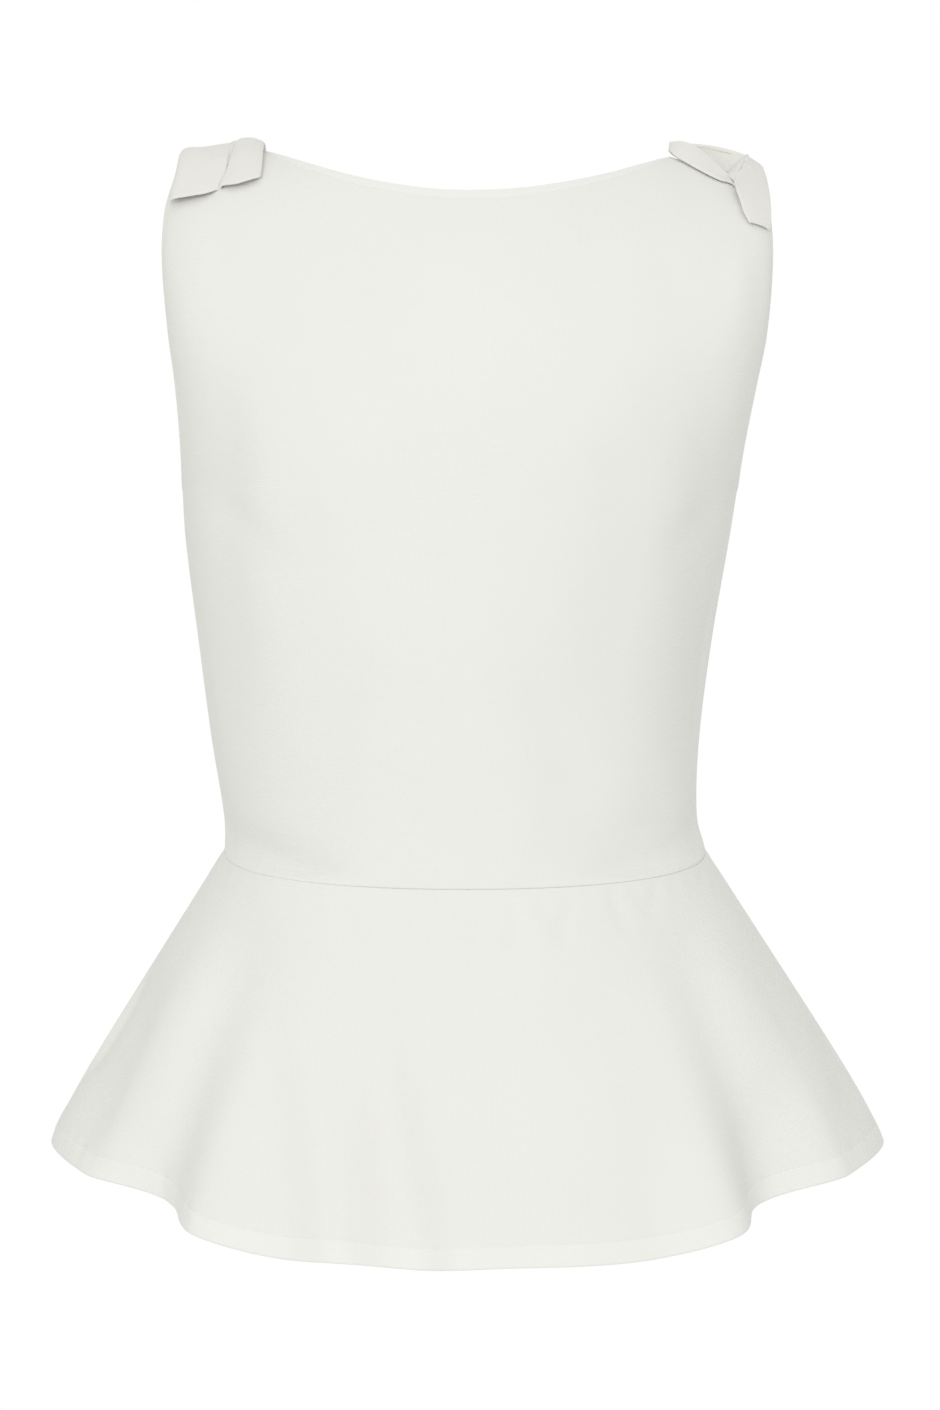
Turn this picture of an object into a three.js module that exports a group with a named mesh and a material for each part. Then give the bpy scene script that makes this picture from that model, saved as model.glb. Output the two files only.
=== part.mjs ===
// A sleeveless peplum top of smooth ivory cloth, filled out as it is worn, with a folded bow on
// each shoulder. Lengths are in millimetres and angles in degrees. X runs to the picture's right,
// the front faces -Y, Z is up, and the origin is between the shoulders, where the wearer carries it.
import * as THREE from "three";

// Driving sizes: the cloth
const WALL = 1.8;
const HEM_WALL = 2.8;
const HEM_DEPTH = 12;
const SEAM_GAP = 0.3;
const BAND_WALL = 1.3;

// Driving sizes: the bodice
const NECK_HALF = 114;
const SHOULDER_HALF = 163;
const NECK_END_Z = 14;
const ARM_END_Z = 1;
const SHOULDER_TILT = 1.7;
const NECK_DIP_POWER = 1.85;
const UNDERARM_Z = -173;
const ARM_OPENING_TURN = 100;
const WAIST_SIDE_Z = -373;
const WAIST_DIP_POWER = 0.8;

// Driving sizes: the peplum
const HEM_HALF = 232;
const HEM_SIDE_Z = -536;
const FLARE = 1.06;
const FLARE_TURN_POWER = 8;
const FOLD_GROWTH = 1.7;

// The front and the back differ in these sizes. "way" is the side of Y that the piece faces.
const FRONT = {
  way: -1, neckZ: -12.6, armDepth: 52, waistDip: 20, hemDepth: 185, hemFall: 1,
};
const BACK = {
  way: 1, neckZ: -6, armDepth: 48, waistDip: 14, hemDepth: 166, hemFall: 0.85,
};

// Sections of the bodice from below the waist seam to the shoulders. "shift" moves a section
// sideways, front and back are how far it reaches from the side seams, and "square" is 2 on an
// ellipse and more on a section with flatter sides.
const SECTIONS = [
  { z: -410, half: 137, shift: -1.0, front: 96, back: 87, square: 2.1 },
  { z: -373, half: 134, shift: -1.5, front: 99, back: 88, square: 2.1 },
  { z: -355, half: 132, shift: -3.9, front: 101, back: 89, square: 2.1 },
  { z: -313, half: 136, shift: -6.7, front: 108, back: 92, square: 2.1 },
  { z: -257, half: 143.3, shift: -6.9, front: 116, back: 98, square: 2.15 },
  { z: -201, half: 151.7, shift: -5.6, front: 121, back: 102, square: 2.3 },
  { z: -173, half: 154.8, shift: -4.2, front: 122, back: 103, square: 2.4 },
  { z: -117, half: 160.5, shift: -0.9, front: 122, back: 103, square: 2.5 },
  { z: -89, half: 164.5, shift: 0, front: 122, back: 103, square: 2.45 },
  { z: -47, half: 168, shift: 0, front: 122, back: 103, square: 2.35 },
  { z: -20, half: 167, shift: 0, front: 122, back: 103, square: 2.3 },
  { z: 1, half: 163, shift: 0, front: 122, back: 103, square: 2.3 },
  { z: 30, half: 163, shift: 0, front: 122, back: 103, square: 2.3 },
];
const TOP_SQUARE = SECTIONS[SECTIONS.length - 1].square;
const WAIST_SQUARE = SECTIONS[0].square;

// How far the hem hangs below the side tips, by the angle from the middle of the panel.
const HEM_LINE = [
  { angle: 0, fall: 53.5 },
  { angle: 20, fall: 51.5 },
  { angle: 28, fall: 48 },
  { angle: 38, fall: 38 },
  { angle: 49, fall: 27 },
  { angle: 62, fall: 14 },
  { angle: 78, fall: 4 },
  { angle: 90, fall: 0 },
];

// Folds of the peplum at the hem. A valley's depth is positive, a ridge's is negative, "spread" is
// the angle on each side of its middle, and "start" is where it begins, from 0 at the seam.
const FRONT_FOLDS = [
  { angle: -51, depth: 25, spread: 14, start: 0 },
  { angle: -36.5, depth: -8, spread: 11, start: 0.1 },
  { angle: -22, depth: 2.5, spread: 7, start: 0.3 },
  { angle: -11, depth: 5.5, spread: 10, start: 0.25 },
  { angle: 7, depth: 2.5, spread: 9, start: 0.4 },
  { angle: 36, depth: -9, spread: 11, start: 0.1 },
  { angle: 50, depth: 26, spread: 14, start: 0 },
];
const BACK_FOLDS = [
  { angle: -51, depth: 20, spread: 16, start: 0 },
  { angle: -33, depth: -6, spread: 13, start: 0.1 },
  { angle: -13, depth: 11, spread: 13, start: 0.15 },
  { angle: 4, depth: -4, spread: 10, start: 0.2 },
  { angle: 20, depth: 9, spread: 12, start: 0.1 },
  { angle: 35, depth: -6, spread: 11, start: 0.1 },
  { angle: 50, depth: 22, spread: 16, start: 0 },
];

// Each bow is one band, sewn to a ring and pinched. A row is a place along the band: its front
// edge and its back edge. "in" is the way from the strap's neck end, "down" is the way down the
// front from the shoulder seam (negative down the back), "up" is the height over the strap.
const LEFT_BOW = [
  { part: "pinch, upper", front: { in: 20, down: 54, up: 2.7 }, back: { in: 14.5, down: -11, up: 10.9 } },
  { part: "outer, rise", front: { in: 26.5, down: 57, up: 4.3 }, back: { in: 21, down: -12, up: 11.2 } },
  { part: "outer, upper", front: { in: 35.5, down: 55, up: 4.7 }, back: { in: 31, down: -13, up: 12.2 } },
  { part: "outer, turn", front: { in: 43.5, down: 51.5, up: 4.7 }, back: { in: 40.5, down: -14, up: 14 } },
  { part: "outer end", front: { in: 45.2, down: 49.5, up: 3.2 }, back: { in: 44, down: -14, up: 9.5 } },
  { part: "outer, under", front: { in: 43, down: 47.5, up: 1.5 }, back: { in: 40.5, down: -14, up: 1.7 } },
  { part: "outer, lower", front: { in: 33, down: 49, up: 1.4 }, back: { in: 29, down: -13, up: 1.4 } },
  { part: "pinch, lower", front: { in: 20, down: 50, up: 1.4 }, back: { in: 14.5, down: -11, up: 1.4 } },
  { part: "inner, lower", front: { in: 10.5, down: 53, up: 1.4 }, back: { in: 9.5, down: -12, up: 1.4 } },
  { part: "inner, under", front: { in: 2.5, down: 54.5, up: 1.5 }, back: { in: 3.5, down: -13, up: 1.7 } },
  { part: "inner end", front: { in: -1.2, down: 56.5, up: 2.5 }, back: { in: -1.1, down: -13, up: 4.6 } },
  { part: "inner, turn", front: { in: 2, down: 58, up: 3.8 }, back: { in: 2.6, down: -13, up: 8.7 } },
  { part: "inner, upper", front: { in: 10.5, down: 58, up: 3.8 }, back: { in: 9.5, down: -12, up: 11.6 } },
];
const RIGHT_BOW = [
  { part: "pinch, upper", front: { in: 31.2, down: 36.5, up: 3.1 }, back: { in: 39.5, down: 4, up: 11.6 } },
  { part: "outer, rise", front: { in: 30.8, down: 39.5, up: 3.5 }, back: { in: 46, down: -1, up: 10 } },
  { part: "outer, over edge", front: { in: 30.5, down: 44.5, up: 3.6 }, back: { in: 49, down: 14, up: 6.2 } },
  { part: "outer, upper", front: { in: 31.2, down: 52.5, up: 3.6 }, back: { in: 48.4, down: 33, up: 4.2 } },
  { part: "outer, turn", front: { in: 32.6, down: 61.5, up: 3 }, back: { in: 47.2, down: 54, up: 3.3 } },
  { part: "outer end", front: { in: 35, down: 66, up: 2.2 }, back: { in: 46.6, down: 61, up: 2.4 } },
  { part: "outer, under", front: { in: 33.5, down: 59, up: 1.4 }, back: { in: 46, down: 50, up: 1.5 } },
  { part: "outer, lower", front: { in: 32.5, down: 46, up: 1.4 }, back: { in: 46.4, down: 26, up: 1.5 } },
  { part: "pinch, lower", front: { in: 30.8, down: 35, up: 1.4 }, back: { in: 40.5, down: 2, up: 1.5 } },
  { part: "inner, leaving", front: { in: 23.5, down: 35.5, up: 1.5 }, back: { in: 29, down: 26, up: 2.4 } },
  { part: "inner, roll", front: { in: 13, down: 30, up: 1.5 }, back: { in: 17, down: 13.5, up: 7 } },
  { part: "inner, top", front: { in: 6, down: 23.5, up: 1.6 }, back: { in: 9.5, down: 9, up: 9.8 } },
  { part: "inner, near", front: { in: 1, down: 18, up: 2 }, back: { in: 3.5, down: 6.5, up: 10.2 } },
  { part: "inner end", front: { in: -2, down: 9, up: 3 }, back: { in: -2.6, down: 2, up: 8 } },
  { part: "inner, far end", front: { in: 1.5, down: -5, up: 2 }, back: { in: 4, down: -6, up: 11 } },
  { part: "inner, far", front: { in: 12, down: -10, up: 1.7 }, back: { in: 17, down: -8, up: 14.5 } },
  { part: "inner, back", front: { in: 24, down: -9, up: 2.4 }, back: { in: 30, down: -8, up: 15.5 } },
  { part: "inner, corner", front: { in: 31.5, down: -5, up: 2.6 }, back: { in: 38.5, down: -6, up: 14.3 } },
  { part: "inner, side", front: { in: 31, down: 16, up: 3.6 }, back: { in: 39.5, down: -1, up: 13.2 } },
];

// Fineness of the surfaces
const NECK_COLUMNS = 5;
const STRAP_COLUMNS = 7;
const BODICE_LOWER_ROWS = 11;
const BODICE_UPPER_ROWS = 12;
const PEPLUM_COLUMNS = 46;
const PEPLUM_ROWS = [0, 0.09, 0.19, 0.3, 0.41, 0.52, 0.63, 0.74, 0.85];
const BAND_STEPS = 3;
const BAND_COLUMNS = 8;
const SLOPE_ANGLE_STEP = 0.4;
const SLOPE_ROW_STEP = 0.01;
const WALL_TURN_LIMIT = 80;
const WALK_STEP = 0.005;
const BAND_SLOPE_ALONG = 0.25;
const BAND_SLOPE_ACROSS = 0.02;
const HEM_STEP = 0.004;
const ARM_EDGE_EASE = 1;

const IVORY = { color: 0xefeee8, roughness: 0.82, metalness: 0 };
const BOW_IVORY = { color: 0xedece5, roughness: 0.78, metalness: 0 };

const radians = THREE.MathUtils.degToRad;
const clamp = THREE.MathUtils.clamp;
const mix = THREE.MathUtils.lerp;
const smoothstep = THREE.MathUtils.smoothstep;

// A smooth curve through the rows of a table, read at any place between them.
function readTable(rows, keyColumn, column, at) {
  const last = rows.length - 1;
  const place = clamp(at, rows[0][keyColumn], rows[last][keyColumn]);
  let i = 0;
  while (i < last - 1 && place > rows[i + 1][keyColumn]) i += 1;
  const slope = (j) => {
    const lower = Math.max(j - 1, 0);
    const upper = Math.min(j + 1, last);
    const rise = rows[upper][column] - rows[lower][column];
    return rise / (rows[upper][keyColumn] - rows[lower][keyColumn]);
  };
  const gap = rows[i + 1][keyColumn] - rows[i][keyColumn];
  const s = (place - rows[i][keyColumn]) / gap;
  const eased = s * s * (3 - 2 * s);
  return (
    mix(rows[i][column], rows[i + 1][column], eased) +
    gap * s * (1 - s) * ((1 - s) * slope(i) - s * slope(i + 1))
  );
}

// Across and forward shares of a rounded section at an angle from the middle of the panel.
const across = (angle, square) => Math.sign(angle) * Math.abs(Math.sin(radians(angle))) ** (2 / square);
const forward = (angle, square) => Math.max(Math.cos(radians(angle)), 0) ** (2 / square);
const angleAcross = (share, square) => THREE.MathUtils.radToDeg(Math.asin(share ** (square / 2)));
const angleForward = (share, square) => THREE.MathUtils.radToDeg(Math.acos(share ** (square / 2)));

const NECK_SHARE = NECK_HALF / SHOULDER_HALF;
const NECK_ANGLE = angleAcross(NECK_SHARE, TOP_SQUARE);

// The upper edge of a bodice panel, which is the neckline between the straps and the shoulder seam
// on them, and the shoulder line that both are cut from.
function topEdge(side, angle) {
  const share = Math.abs(across(angle, TOP_SQUARE));
  const tilt = (-SHOULDER_TILT * Math.sign(angle) * share) / NECK_SHARE;
  const fall = (NECK_END_Z - ARM_END_Z) / (1 - NECK_SHARE);
  if (share >= NECK_SHARE) {
    const strap = NECK_END_Z - fall * (share - NECK_SHARE) + tilt;
    return { edge: strap, shoulder: strap };
  }
  const dip = (NECK_END_Z - side.neckZ) * (share / NECK_SHARE) ** NECK_DIP_POWER;
  const rise = (fall * (NECK_SHARE ** 2 - share ** 2)) / (2 * NECK_SHARE);
  return { edge: side.neckZ + dip + tilt, shoulder: NECK_END_Z + rise + tilt };
}

function waistZ(side, angle) {
  return WAIST_SIDE_Z - side.waistDip * forward(angle, WAIST_SQUARE) ** WAIST_DIP_POWER;
}

// A point of a bodice panel's outer face. "row" is 0 at the waist seam, 1 at the underarm and 2 at
// the upper edge. Above the underarm the outer columns draw in to the armhole's edge.
function bodicePoint(side, angle, row) {
  const depthColumn = side === FRONT ? "front" : "back";
  let turned = angle;
  let z = mix(waistZ(side, angle), UNDERARM_Z, row);
  let reach = readTable(SECTIONS, "z", depthColumn, z);
  let sideReach = 0;
  if (row > 1) {
    const top = topEdge(side, angle);
    z = mix(UNDERARM_Z, top.edge, (1 - Math.cos(radians(180 * (row - 1)))) / 2);
    const level = clamp((z - UNDERARM_Z) / (top.shoulder - UNDERARM_Z), 0, 1);
    const turn = THREE.MathUtils.radToDeg(Math.acos(1 - 2 * level));
    reach = readTable(SECTIONS, "z", depthColumn, UNDERARM_Z) * Math.sqrt(1 - level ** 2);
    const armEdge = side.armDepth * Math.sin(radians(turn));
    sideReach = armEdge * smoothstep(turn, 0, ARM_OPENING_TURN);
    const limit = angleForward(
      clamp((armEdge - sideReach) / (reach - sideReach + ARM_EDGE_EASE), 0, 1),
      readTable(SECTIONS, "z", "square", z),
    );
    const outward = (Math.abs(angle) - NECK_ANGLE) / (90 - NECK_ANGLE);
    if (outward > 0) turned = Math.sign(angle) * mix(NECK_ANGLE, limit, outward);
  }
  const square = readTable(SECTIONS, "z", "square", z);
  const half = readTable(SECTIONS, "z", "half", z) * across(turned, square);
  const y = side.way * (sideReach + (reach - sideReach) * forward(turned, square) + SEAM_GAP / 2);
  return new THREE.Vector3(readTable(SECTIONS, "z", "shift", z) + half, y, z);
}

// A point of a peplum panel's outer face. "row" is 0 at the waist seam and 1 at the hem.
function peplumPoint(side, angle, row) {
  const seam = bodicePoint(side, angle, 0);
  seam.z -= SEAM_GAP;
  const sideShare = Math.sin(radians(angle));
  const frontShare = Math.max(Math.cos(radians(angle)), 0);
  const fall = side.hemFall * readTable(HEM_LINE, "angle", "fall", Math.abs(angle));
  const hemY = side.way * (side.hemDepth * frontShare + SEAM_GAP / 2);
  const hem = new THREE.Vector3(HEM_HALF * sideShare, hemY, HEM_SIDE_Z - fall);
  const out = FLARE * row - (FLARE - 1) * row ** FLARE_TURN_POWER;
  const point = seam.clone().lerp(hem, out).setZ(mix(seam.z, hem.z, row));
  const outward = new THREE.Vector3(sideShare / HEM_HALF, (side.way * frontShare) / side.hemDepth, 0);
  outward.normalize();
  for (const fold of side === FRONT ? FRONT_FOLDS : BACK_FOLDS) {
    const off = Math.abs(angle - fold.angle) / fold.spread;
    if (off >= 1 || row <= fold.start) continue;
    const grown = ((row - fold.start) / (1 - fold.start)) ** FOLD_GROWTH;
    point.addScaledVector(outward, (-fold.depth * grown * (1 + Math.cos(Math.PI * off))) / 2);
  }
  return point;
}

// The way out of a surface at a point, from its slopes along both of its directions.
function wayOut(surface, angle, row, lowRow, highRow, middle) {
  const lowAngle = clamp(angle - SLOPE_ANGLE_STEP, -90, 90);
  const highAngle = clamp(angle + SLOPE_ANGLE_STEP, -90, 90);
  const below = Math.max(row - SLOPE_ROW_STEP, lowRow);
  const above = Math.min(row + SLOPE_ROW_STEP, highRow);
  const along = surface(highAngle, row).sub(surface(lowAngle, row));
  const up = surface(angle, above).sub(surface(angle, below));
  const out = along.cross(up).normalize();
  const fromMiddle = surface(angle, row).sub(middle);
  return out.dot(fromMiddle) < 0 ? out.negate() : out;
}

// A mesh from a list of corner points and quads, each quad split in two.
function meshOf(name, points, quads, finish) {
  const triangles = quads.flatMap(([a, b, c, d]) => [a, b, c, a, c, d]);
  const volume = (list) => {
    let sum = 0;
    for (let i = 0; i < list.length; i += 3) {
      const [p, q, r] = [points[list[i]], points[list[i + 1]], points[list[i + 2]]];
      sum += p.dot(q.clone().cross(r));
    }
    return sum;
  };
  if (volume(triangles) < 0) triangles.reverse();
  const geometry = new THREE.BufferGeometry().setFromPoints(points);
  geometry.setIndex(triangles);
  geometry.computeVertexNormals();
  const mesh = new THREE.Mesh(geometry, new THREE.MeshStandardMaterial(finish));
  mesh.name = name;
  return mesh;
}

// A closed wall between two grids of points, with its rims. A ring's last row joins its first.
function wall(name, outer, inner, finish, ring = false) {
  const rows = outer.length;
  const columns = outer[0].length;
  const points = [...outer.flat(), ...inner.flat()];
  const at = (layer, i, j) => layer * rows * columns + (i % rows) * columns + j;
  const quads = [];
  const lastRow = ring ? rows : rows - 1;
  for (let i = 0; i < lastRow; i += 1) {
    for (let j = 0; j < columns - 1; j += 1) {
      quads.push([at(0, i, j), at(0, i, j + 1), at(0, i + 1, j + 1), at(0, i + 1, j)]);
      quads.push([at(1, i, j), at(1, i + 1, j), at(1, i + 1, j + 1), at(1, i, j + 1)]);
    }
    quads.push([at(0, i, 0), at(0, i + 1, 0), at(1, i + 1, 0), at(1, i, 0)]);
    const j = columns - 1;
    quads.push([at(0, i, j), at(1, i, j), at(1, i + 1, j), at(0, i + 1, j)]);
  }
  if (!ring) {
    for (let j = 0; j < columns - 1; j += 1) {
      quads.push([at(0, 0, j), at(1, 0, j), at(1, 0, j + 1), at(0, 0, j + 1)]);
      const i = rows - 1;
      quads.push([at(0, i, j), at(0, i, j + 1), at(1, i, j + 1), at(1, i, j)]);
    }
  }
  return meshOf(name, points, quads, finish);
}

// Angles of the bodice's columns, with one at each end of the neckline.
function bodiceAngles() {
  const half = [];
  for (let i = 1; i <= NECK_COLUMNS; i += 1) half.push((NECK_ANGLE * i) / NECK_COLUMNS);
  for (let i = 1; i <= STRAP_COLUMNS; i += 1) half.push(mix(NECK_ANGLE, 90, i / STRAP_COLUMNS));
  return [...half.map((angle) => -angle).reverse(), 0, ...half];
}

function bodicePanel(name, side) {
  const rows = [];
  for (let i = 0; i <= BODICE_LOWER_ROWS; i += 1) rows.push(i / BODICE_LOWER_ROWS);
  for (let i = 1; i <= BODICE_UPPER_ROWS; i += 1) rows.push(1 + i / BODICE_UPPER_ROWS);
  const angles = bodiceAngles();
  const surface = (angle, row) => bodicePoint(side, angle, row);
  const outer = rows.map((row) => angles.map((angle) => surface(angle, row)));
  const inner = rows.map((row, i) =>
    angles.map((angle, j) => {
      const onArmhole = row > 1;
      const limit = onArmhole ? WALL_TURN_LIMIT : 90;
      const middle = new THREE.Vector3(0, 0, Math.min(outer[i][j].z, UNDERARM_Z / 2));
      const out = wayOut(surface, clamp(angle, -limit, limit), row, 0, 2, middle);
      const onSideSeam = Math.abs(angle) === 90 && !onArmhole;
      const onShoulderSeam = row === 2 && Math.abs(angle) >= NECK_ANGLE;
      if (onSideSeam || onShoulderSeam) out.y = 0;
      if (row === 0) out.z = 0;
      return outer[i][j].clone().addScaledVector(out.normalize(), -WALL);
    }),
  );
  return wall(name, outer, inner, IVORY);
}

function peplumPanel(name, side) {
  const length = HEM_SIDE_Z - WAIST_SIDE_Z;
  const hemShare = 1 + HEM_DEPTH / length;
  const rows = [...PEPLUM_ROWS, hemShare - HEM_STEP, hemShare + HEM_STEP, 1];
  const angles = [];
  for (let i = 0; i <= PEPLUM_COLUMNS; i += 1) angles.push(-90 + (180 * i) / PEPLUM_COLUMNS);
  const surface = (angle, row) => peplumPoint(side, angle, row);
  const outer = rows.map((row) => angles.map((angle) => surface(angle, row)));
  const inner = rows.map((row, i) =>
    angles.map((angle, j) => {
      const middle = new THREE.Vector3(0, 0, outer[i][j].z);
      const out = wayOut(surface, angle, row, 0, 1, middle);
      if (Math.abs(angle) === 90) out.y = 0;
      if (row === 0) out.z = 0;
      const thick = row > hemShare ? HEM_WALL : WALL;
      return outer[i][j].clone().addScaledVector(out.normalize(), -thick);
    }),
  );
  return wall(name, outer, inner, IVORY);
}

// A place over a shoulder strap. "hand" is -1 on the picture's left strap and 1 on the right one.
function overStrap(hand, { in: along, down, up }) {
  const side = down >= 0 ? FRONT : BACK;
  const strapLength = SHOULDER_HALF - NECK_HALF;
  const kept = clamp(along, 0, strapLength);
  const angle = hand * Math.min(angleAcross((NECK_HALF + kept) / SHOULDER_HALF, TOP_SQUARE), 90);
  const walk = (from) => {
    let row = 2;
    let here = bodicePoint(side, from, row);
    let left = Math.abs(down);
    while (left > 0) {
      const next = bodicePoint(side, from, row - WALK_STEP);
      const step = next.distanceTo(here);
      const share = Math.min(left / step, 1);
      here = here.lerp(next, share);
      row -= WALK_STEP * share;
      left -= step;
    }
    return { here, row };
  };
  const foot = walk(angle);
  const slope = (ARM_END_Z - NECK_END_Z) / strapLength;
  foot.here.x += hand * (along - kept);
  foot.here.z += slope * (along - kept);
  const strapMiddle = hand * angleAcross((NECK_HALF + strapLength / 2) / SHOULDER_HALF, TOP_SQUARE);
  const surface = (a, row) => bodicePoint(side, a, row);
  const below = new THREE.Vector3(hand * NECK_HALF, 0, UNDERARM_Z);
  const out = wayOut(surface, strapMiddle, foot.row, 1, 2, below);
  return foot.here.addScaledVector(out, up);
}

// A bow: a ring of band through its places, with its wall half on each side of them.
function bow(name, hand, places) {
  const count = places.length * BAND_STEPS;
  const curve = (edge) =>
    new THREE.CatmullRomCurve3(
      places.map((row) => new THREE.Vector3(row[edge].in, row[edge].down, row[edge].up)),
      true,
      "centripetal",
    );
  const front = curve("front");
  const back = curve("back");
  const middle = (along, towardsBack) => {
    const round = THREE.MathUtils.euclideanModulo(along, 1);
    const p = front.getPoint(round).lerp(back.getPoint(round), towardsBack);
    return overStrap(hand, { in: p.x, down: p.y, up: p.z });
  };
  const alongStep = BAND_SLOPE_ALONG / count;
  const outer = [];
  const inner = [];
  for (let i = 0; i < count; i += 1) {
    const outerRow = [];
    const innerRow = [];
    for (let j = 0; j <= BAND_COLUMNS; j += 1) {
      const along = i / count;
      const share = j / BAND_COLUMNS;
      const tangent = middle(along + alongStep, share).sub(middle(along - alongStep, share));
      const backward = middle(along, Math.min(share + BAND_SLOPE_ACROSS, 1));
      const width = backward.sub(middle(along, Math.max(share - BAND_SLOPE_ACROSS, 0)));
      const out = tangent.cross(width).normalize();
      const here = middle(along, share);
      outerRow.push(here.clone().addScaledVector(out, BAND_WALL / 2));
      innerRow.push(here.clone().addScaledVector(out, -BAND_WALL / 2));
    }
    outer.push(outerRow);
    inner.push(innerRow);
  }
  return wall(name, outer, inner, BOW_IVORY, true);
}

const top = new THREE.Group();
top.add(bodicePanel("bodice_front", FRONT));
top.add(bodicePanel("bodice_back", BACK));
top.add(peplumPanel("peplum_front", FRONT));
top.add(peplumPanel("peplum_back", BACK));
top.add(bow("bow_left", -1, LEFT_BOW));
top.add(bow("bow_right", 1, RIGHT_BOW));

export default top;
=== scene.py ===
# %% [markdown]
# # A sleeveless peplum top in ivory crepe
# The real top is sewn from six pieces of smooth ivory cloth: a front and a back bodice panel, a
# front and a back peplum panel, and two bands that are folded into bows on the shoulders.
# This script loads the rigid model of those six pieces as a frame, and lays finer cloth on it.
# Everything in Blender is in metres. The cloth is worked out in millimetres, because a dressmaker
# measures in them, and turned into metres when its mesh is made.

# %% Load the frame
import math

import bpy
import numpy as np
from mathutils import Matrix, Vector


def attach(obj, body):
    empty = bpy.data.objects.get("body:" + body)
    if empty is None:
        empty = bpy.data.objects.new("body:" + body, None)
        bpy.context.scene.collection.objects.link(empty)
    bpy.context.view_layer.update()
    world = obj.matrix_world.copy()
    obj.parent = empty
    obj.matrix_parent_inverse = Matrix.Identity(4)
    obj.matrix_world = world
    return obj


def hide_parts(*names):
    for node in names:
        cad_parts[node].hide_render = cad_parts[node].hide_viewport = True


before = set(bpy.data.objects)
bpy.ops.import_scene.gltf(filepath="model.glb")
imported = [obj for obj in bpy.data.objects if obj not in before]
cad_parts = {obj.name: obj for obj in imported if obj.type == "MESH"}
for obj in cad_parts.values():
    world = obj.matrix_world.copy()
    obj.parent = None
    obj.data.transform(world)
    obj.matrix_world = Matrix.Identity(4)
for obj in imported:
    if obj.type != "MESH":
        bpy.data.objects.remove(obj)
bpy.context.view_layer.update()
MM = 0.001

# %% [markdown]
# ## The camera
# The photograph looks straight at the front of the top from a few metres away, so the sides
# hardly spread. A long lens far away gives that look, and a short lens nearby would make the waist
# seem larger than the hem. The lens is worked out from the width that the picture takes in.

# %% Camera
CAMERA_AT = (0.0014, -3.0, -0.2933)
PICTURE_HEIGHT = 0.7877
SENSOR = 36.0

camera_data = bpy.data.cameras.new("camera")
camera_data.sensor_width = SENSOR
camera_data.lens = SENSOR * -CAMERA_AT[1] / PICTURE_HEIGHT
camera = bpy.data.objects.new("camera", camera_data)
camera.location = CAMERA_AT
camera.rotation_euler = (math.radians(90), 0, 0)
bpy.context.scene.collection.objects.link(camera)
bpy.context.scene.camera = camera
print("lens", round(camera_data.lens, 1), "mm")

# %% [markdown]
# ## Studio light
# Pale cloth on a white ground needs soft light that comes mostly from the front: the middle of
# the top is then almost white and its sides fall off a little. The world gives an even fill, and
# large area lights give the direction. Camera rays see the world as plain white, so the ground is
# as clean as in the photograph, while the cloth is lit by a dimmer one.

# %% World and lamps
FILL = 0.7
LAMPS = [
    {"name": "front_key", "at": (-0.9, -3.6, 0.9), "size": 2.2, "power": 36},
    {"name": "front_fill", "at": (1.3, -3.4, 0.1), "size": 2.4, "power": 11},
    {"name": "top_soft", "at": (0.0, -0.4, 2.6), "size": 2.0, "power": 6},
    {"name": "back_fill", "at": (0.5, 3.8, 0.7), "size": 2.2, "power": 26},
]
LAMP_TARGET = (0.0, 0.0, -0.28)


def set_inputs(node, values):
    """Sets inputs of a shader or geometry node by name."""
    for name, value in values.items():
        node.inputs[name].default_value = value


scene = bpy.context.scene
scene.view_settings.view_transform = "Standard"
world = bpy.data.worlds.new("studio")
scene.world = world
world.use_nodes = True
nodes, links = world.node_tree.nodes, world.node_tree.links
nodes.clear()
output = nodes.new("ShaderNodeOutputWorld")
seen = nodes.new("ShaderNodeBackground")
set_inputs(seen, {"Color": (1, 1, 1, 1)})
lighting = nodes.new("ShaderNodeBackground")
set_inputs(lighting, {"Color": (1.0, 0.995, 0.985, 1), "Strength": FILL})
rays = nodes.new("ShaderNodeLightPath")
choose = nodes.new("ShaderNodeMixShader")
links.new(rays.outputs["Is Camera Ray"], choose.inputs["Fac"])
links.new(lighting.outputs["Background"], choose.inputs[1])
links.new(seen.outputs["Background"], choose.inputs[2])
links.new(choose.outputs["Shader"], output.inputs["Surface"])


def place_lamp(name, at, size, power):
    """A square soft light at a point, turned towards the middle of the top."""
    data = bpy.data.lights.new(name, "AREA")
    data.energy = power
    data.size = size
    lamp = bpy.data.objects.new(name, data)
    scene.collection.objects.link(lamp)
    lamp.location = at
    way = Vector(LAMP_TARGET) - Vector(at)
    lamp.rotation_euler = way.to_track_quat("-Z", "Y").to_euler()


for lamp in LAMPS:
    place_lamp(**lamp)
print("lamps", len(LAMPS), "fill", FILL)

# %% [markdown]
# ## Tables and rounded sections
# The top is described as a dressmaker's stand would be: a list of heights, each with the half
# width, the reach to the front and to the back, and how square the section is. A smooth curve
# through each column of the table gives every height between. The same names and sizes are in
# the rigid model, so the cloth lies on it exactly.

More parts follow.
